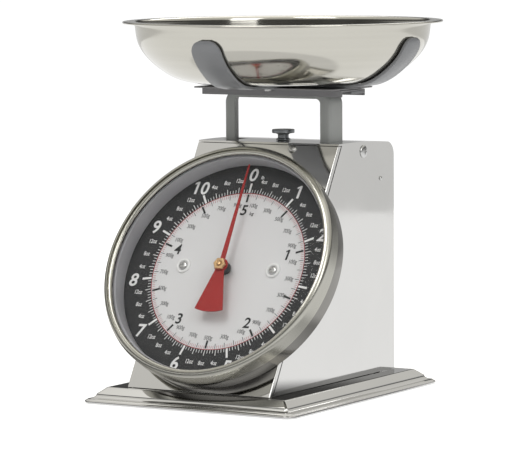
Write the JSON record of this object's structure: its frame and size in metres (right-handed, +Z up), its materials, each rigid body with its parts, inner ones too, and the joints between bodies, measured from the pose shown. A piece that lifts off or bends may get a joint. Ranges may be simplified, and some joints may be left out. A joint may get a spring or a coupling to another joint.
{
  "type": "mechanical kitchen scale",
  "caption": "Spring kitchen scale: round tilted dial on a folded steel housing and stepped base, with a lift-off bowl in a cradle on a sprung yoke.",
  "frame": {"origin": "centre of the overall footprint, on the surface that the feet stand on", "axes": "+Z up, +X to the right of someone who reads the dial, -Y towards that reader; the dial is tilted back about 30 degrees"},
  "size_m": [0.225, 0.2486, 0.26],
  "materials": {
    "polished_steel": "mirror polished stainless steel",
    "bezel_steel": "satin stainless steel, finely brushed around the ring",
    "grey_paint": "satin grey paint",
    "knob_steel": "dull grey metal",
    "zinc_steel": "zinc plated steel",
    "dial_white": "matt white enamel with a printed black outer ring",
    "spacer_grey": "satin silver-grey",
    "clear_lens": "clear gloss",
    "red_pointer": "satin red",
    "black_plastic": "satin black",
    "black_rubber": "matt black",
    "brass": "turned brass"
  },
  "bodies": {
    "case": {"base_plinth": "polished_steel", "bottom_cover": "zinc_steel", "foot_front_left": "black_rubber", "foot_front_right": "black_rubber", "foot_rear_left": "black_rubber", "foot_rear_right": "black_rubber", "base_screw_front_left": "zinc_steel", "base_screw_rear_left": "zinc_steel", "base_screw_front_right": "zinc_steel", "base_screw_rear_right": "zinc_steel", "housing_shell": "polished_steel", "front_panel": "polished_steel", "panel_screw_left": "zinc_steel", "panel_screw_right": "zinc_steel", "side_screw_left": "zinc_steel", "side_screw_right": "zinc_steel", "side_rivet_left": "zinc_steel", "side_rivet_right": "zinc_steel", "dial_drum": "polished_steel", "bezel_ring": "bezel_steel", "dial_lens": "clear_lens", "dial_spacer_ring": "spacer_grey", "dial_plate": "dial_white", "dial_post_left": "zinc_steel", "dial_post_right": "zinc_steel", "dial_screw_left": "zinc_steel", "dial_screw_right": "zinc_steel", "bearing_bracket": "zinc_steel", "rear_bush": "brass", "front_bush": "brass", "upper_link_pin": "zinc_steel", "lower_link_pin": "zinc_steel", "link_frame": "zinc_steel", "frame_rivet_lower": "zinc_steel", "frame_rivet_upper": "zinc_steel"},
    "carriage": {"yoke": "grey_paint", "lower_crossbar": "zinc_steel", "platform_tray": "grey_paint", "platform_sheet": "grey_paint", "cradle_arm_rear": "grey_paint", "cradle_arm_left": "grey_paint", "cradle_arm_front": "grey_paint", "cradle_arm_right": "grey_paint", "arm_rivet_rear": "zinc_steel", "arm_rivet_left": "zinc_steel", "arm_rivet_front": "zinc_steel", "arm_rivet_right": "zinc_steel"},
    "bowl": {"bowl": "polished_steel"},
    "rack": {"rack": "zinc_steel"},
    "pointer": {"pinion_shaft": "brass", "pointer_hub": "black_plastic", "pointer": "red_pointer", "pointer_nut": "brass"},
    "upper_link": {"upper_link": "zinc_steel"},
    "lower_link": {"lower_link": "zinc_steel"},
    "zero_knob": {"zero_knob": "knob_steel"},
    "hanger": {"spring_hanger": "zinc_steel", "main_spring_left": "zinc_steel", "main_spring_right": "zinc_steel"}
  },
  "joints": [
    {"name": "weigh_travel", "type": "slide", "parent": "case", "child": "carriage", "axis": [0, 0, -1], "range_m": [0, 0.0163], "stiffness_N_per_m": 3010, "springref_m": -0.0029, "deforming": ["main_spring_left", "main_spring_right"]},
    {"name": "rack_slide", "type": "slide", "parent": "case", "child": "rack", "axis": [0, -0.5025, -0.8646], "range_m": [0, 0.0189]},
    {"name": "pointer_spin", "type": "hinge", "parent": "case", "child": "pointer", "pos_m": [0, -0.06018, 0.08756], "axis": [0, -0.8646, 0.5025], "range_deg": [-361, 0]},
    {"name": "upper_link_swing", "type": "hinge", "parent": "case", "child": "upper_link", "pos_m": [0, 0.0623, 0.14985], "axis": [1, 0, 0], "range_deg": [0, 18.8]},
    {"name": "lower_link_swing", "type": "hinge", "parent": "case", "child": "lower_link", "pos_m": [0, 0.0623, 0.10985], "axis": [1, 0, 0], "range_deg": [0, 18.8]},
    {"name": "zero_knob_turn", "type": "hinge", "parent": "case", "child": "zero_knob", "pos_m": [0, 0.0118, 0.18], "axis": [0, 0, 1], "range_deg": [-361, 361]},
    {"name": "hanger_lift", "type": "slide", "parent": "case", "child": "hanger", "axis": [0, 0, 1], "range_m": [-0.001, 0.001]},
    {"name": "bowl_lift", "type": "slide", "parent": "carriage", "child": "bowl", "axis": [0, 0, 1], "range_m": [0, 0.06]}
  ],
  "couplings": [
    {"joint": "rack_slide", "follows": "weigh_travel", "ratio": 1.1567},
    {"joint": "pointer_spin", "follows": "weigh_travel", "rad_per_m": -385.55},
    {"joint": "upper_link_swing", "follows": "weigh_travel", "rad_per_m": 20.09},
    {"joint": "lower_link_swing", "follows": "weigh_travel", "rad_per_m": 20.09},
    {"joint": "zero_knob_turn", "follows": "hanger_lift", "rad_per_m": -6283.2}
  ]
}
